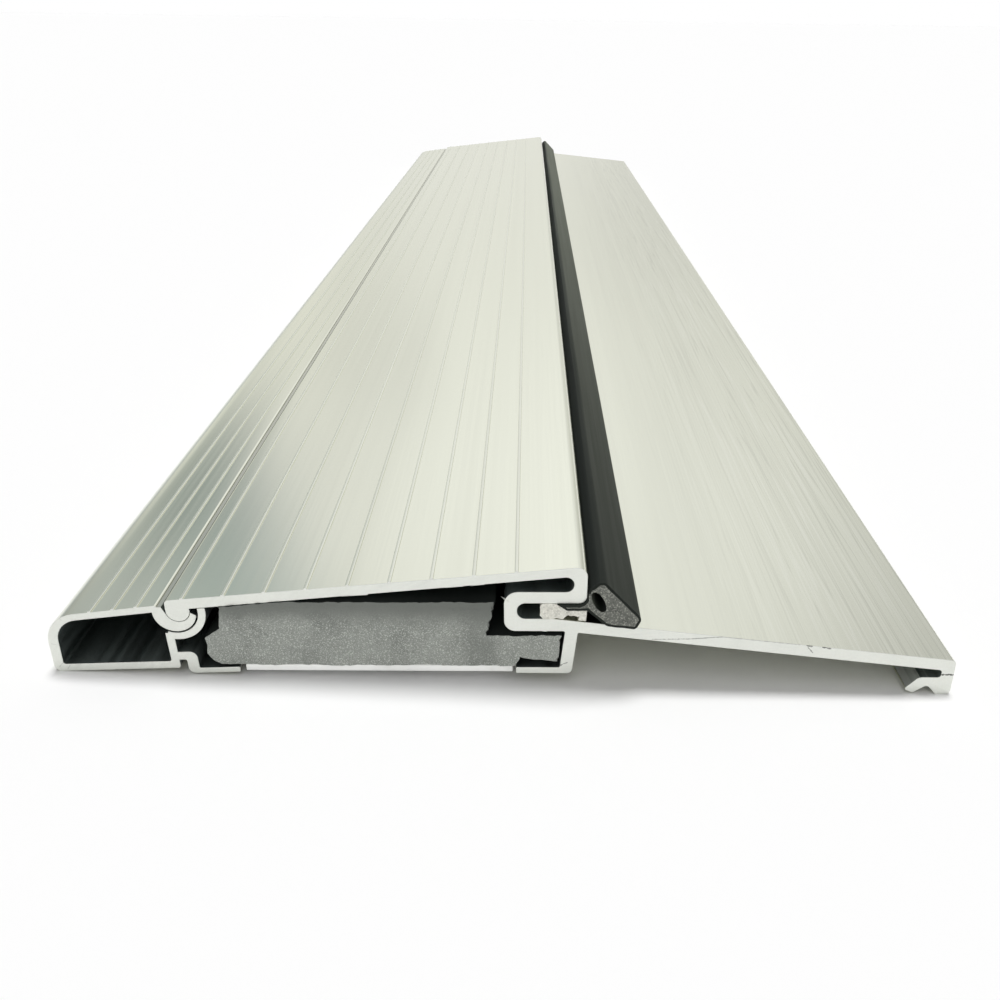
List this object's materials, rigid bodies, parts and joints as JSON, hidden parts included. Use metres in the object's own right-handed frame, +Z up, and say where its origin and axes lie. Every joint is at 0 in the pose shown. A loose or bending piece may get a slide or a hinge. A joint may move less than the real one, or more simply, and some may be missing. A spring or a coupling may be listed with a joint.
{
  "type": "door threshold",
  "caption": "Sawn length of an aluminium door saddle with a ribbed sloping tread, a rounded nose hinged on a bead, a soft weather seal, a sloping sill apron and a filled underside.",
  "frame": {"origin": "under the middle of the outline, on the level surface that the threshold lies on", "axes": "+X towards the outside of the door, from nose to drip edge; +Y along the door opening; +Z up"},
  "size_m": [0.1432, 0.6, 0.0214],
  "materials": {
    "satin_aluminium": "satin",
    "rigid_seal": "matte",
    "soft_seal": "satin",
    "core_filling": "matte",
    "white_strip": "matte"
  },
  "bodies": {
    "saddle": {"saddle_profile": "satin_aluminium", "seal_foot": "rigid_seal", "seal_bulb": "soft_seal", "core_block": "core_filling", "base_strip": "white_strip"},
    "nose": {"nose_profile": "satin_aluminium"}
  },
  "joints": [
    {"name": "nose_tilt", "type": "hinge", "parent": "saddle", "child": "nose", "pos_m": [-0.0502, 0, 0.01193], "axis": [0, 1, 0], "range_deg": [0, 25]}
  ]
}
